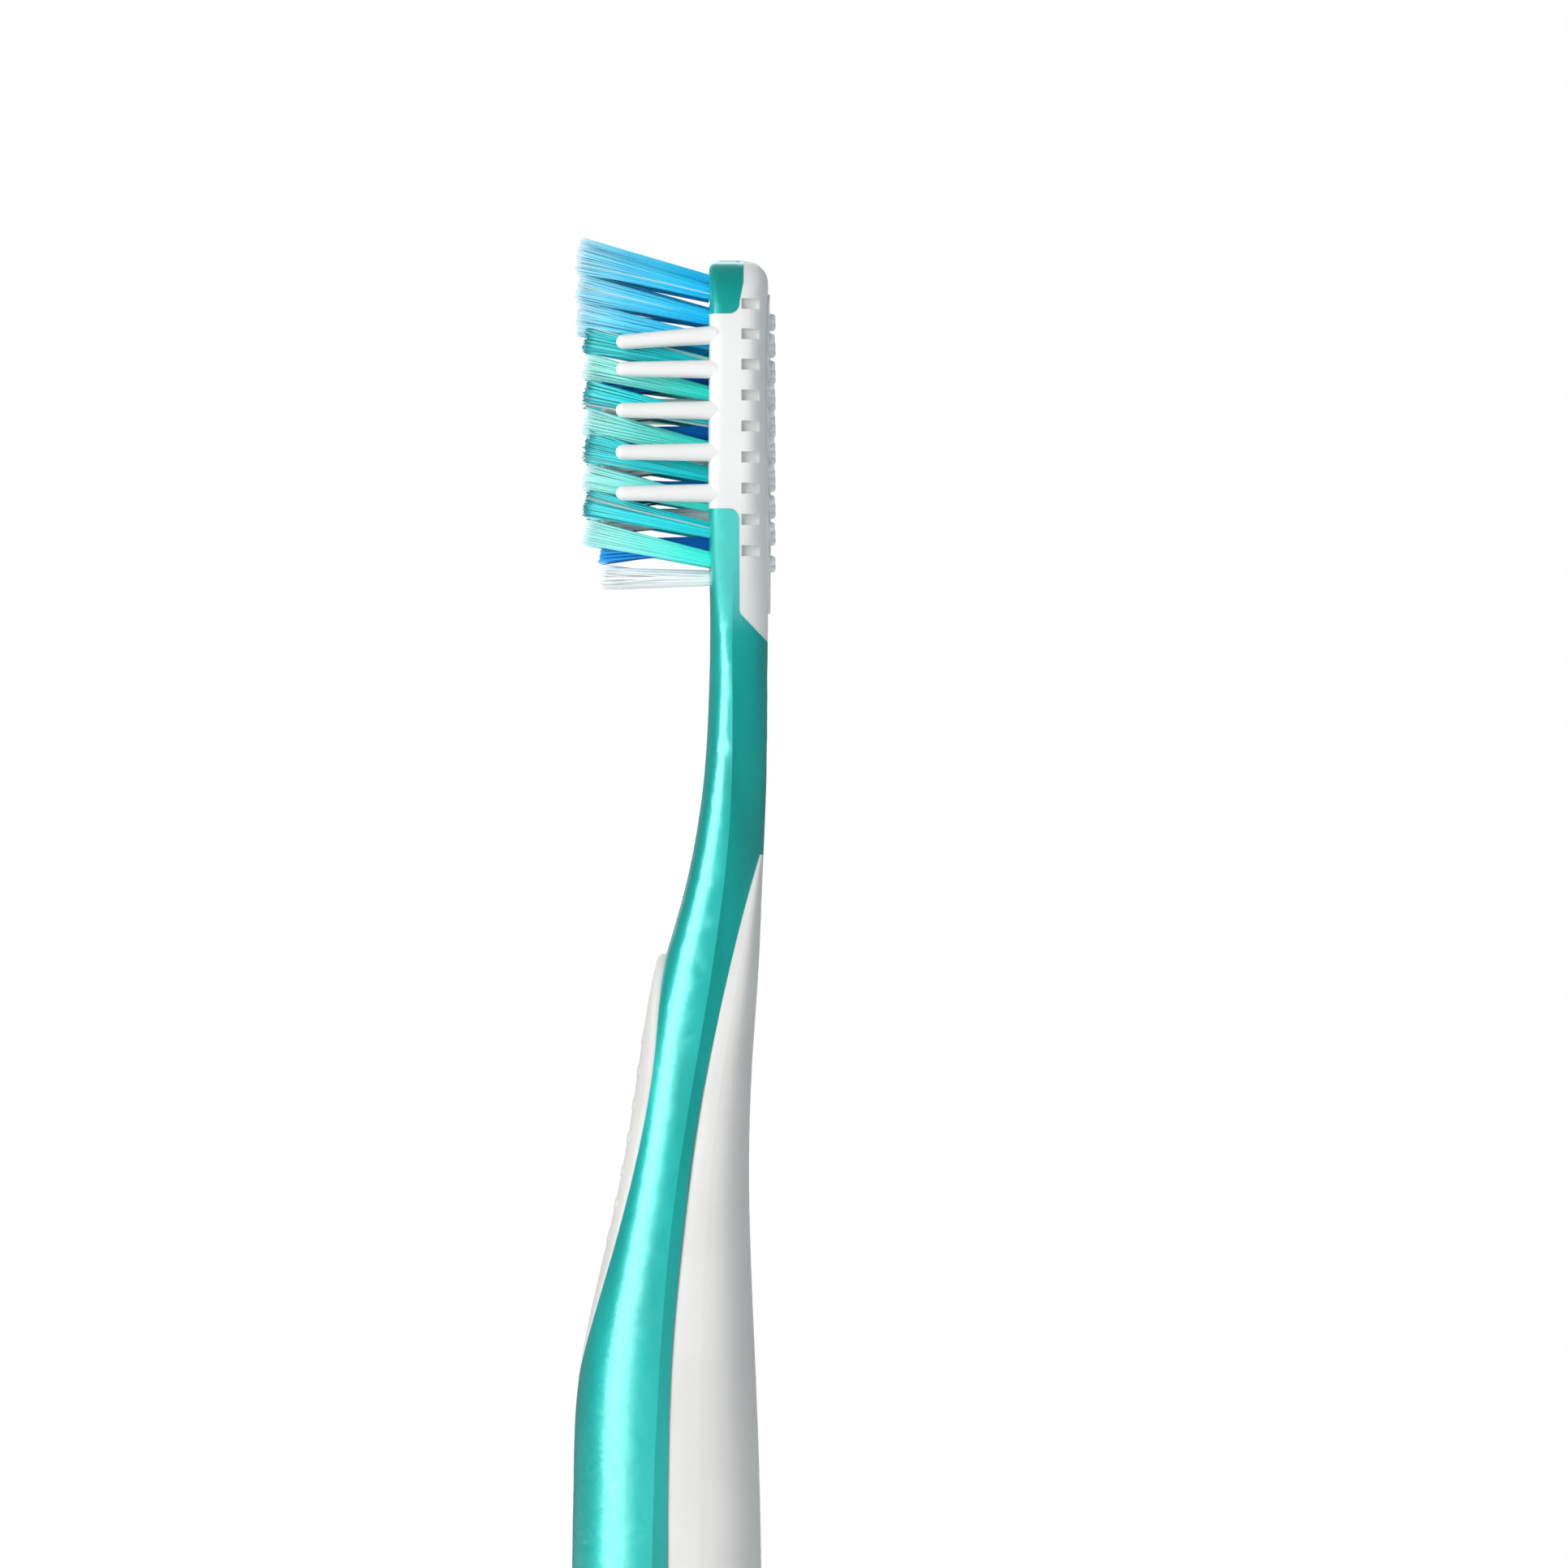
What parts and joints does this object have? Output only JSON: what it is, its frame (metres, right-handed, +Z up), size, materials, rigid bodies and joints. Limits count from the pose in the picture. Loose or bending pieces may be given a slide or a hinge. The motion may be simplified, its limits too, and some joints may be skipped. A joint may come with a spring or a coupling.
{
  "type": "manual toothbrush",
  "caption": "Manual toothbrush with an S-curved hard core, soft thumb pad and back grip, a rubber-clad head with side fingers, angled coloured bristle tufts and a tongue cleaner.",
  "frame": {"origin": "centre of the small flat foot at the end of the handle", "axes": "+Z up along the handle towards the tip of the head, -Y the way the bristles point, X across the brush"},
  "size_m": [0.0132, 0.0179, 0.192],
  "materials": {
    "pearl_teal_plastic": "pearlescent, glossy, slightly see-through",
    "white_soft_grip": "smooth satin thermoplastic elastomer",
    "white_head_rubber": "satin thermoplastic elastomer",
    "clear_soft_rubber": "milky see-through elastomer",
    "anchor_metal": "rolled wire, cut",
    "nylon_light_blue": "extruded nylon filament",
    "nylon_teal": "extruded nylon filament",
    "nylon_mint": "extruded nylon filament",
    "nylon_deep_blue": "extruded nylon filament",
    "nylon_clear": "clear extruded nylon filament"
  },
  "bodies": {
    "root": {"handle_core": "pearl_teal_plastic", "thumb_pad": "white_soft_grip", "back_grip": "white_soft_grip", "head_rubber": "white_head_rubber", "tongue_cleaner": "clear_soft_rubber", "tuft_anchors": "anchor_metal", "tuft_tip1": "nylon_light_blue", "tuft_tip3": "nylon_light_blue", "tuft_tip6": "nylon_light_blue", "tuft_tip2_right": "nylon_light_blue", "tuft_tip2_left": "nylon_light_blue", "tuft_tip4_right": "nylon_light_blue", "tuft_tip4_left": "nylon_light_blue", "tuft_tip5_right": "nylon_light_blue", "tuft_tip5_left": "nylon_light_blue", "tuft_teal1_right": "nylon_teal", "tuft_teal1_left": "nylon_teal", "tuft_mint1_right": "nylon_mint", "tuft_mint1_left": "nylon_mint", "tuft_deep1_right": "nylon_deep_blue", "tuft_deep1_left": "nylon_deep_blue", "tuft_white1_right": "nylon_clear", "tuft_white1_left": "nylon_clear", "tuft_teal2_right": "nylon_teal", "tuft_teal2_left": "nylon_teal", "tuft_mint2_right": "nylon_mint", "tuft_mint2_left": "nylon_mint", "tuft_deep2_right": "nylon_deep_blue", "tuft_deep2_left": "nylon_deep_blue", "tuft_white2_right": "nylon_clear", "tuft_white2_left": "nylon_clear", "tuft_teal3_right": "nylon_teal", "tuft_teal3_left": "nylon_teal", "tuft_mint3_right": "nylon_mint", "tuft_mint3_left": "nylon_mint", "tuft_deep3_right": "nylon_deep_blue", "tuft_deep3_left": "nylon_deep_blue", "tuft_white3_right": "nylon_clear", "tuft_white3_left": "nylon_clear", "tuft_teal4_right": "nylon_teal", "tuft_teal4_left": "nylon_teal", "tuft_mint4_right": "nylon_mint", "tuft_mint4_left": "nylon_mint", "tuft_deep4_right": "nylon_deep_blue", "tuft_deep4_left": "nylon_deep_blue", "tuft_heel_right": "nylon_clear", "tuft_heel_left": "nylon_clear"}
  },
  "joints": []
}
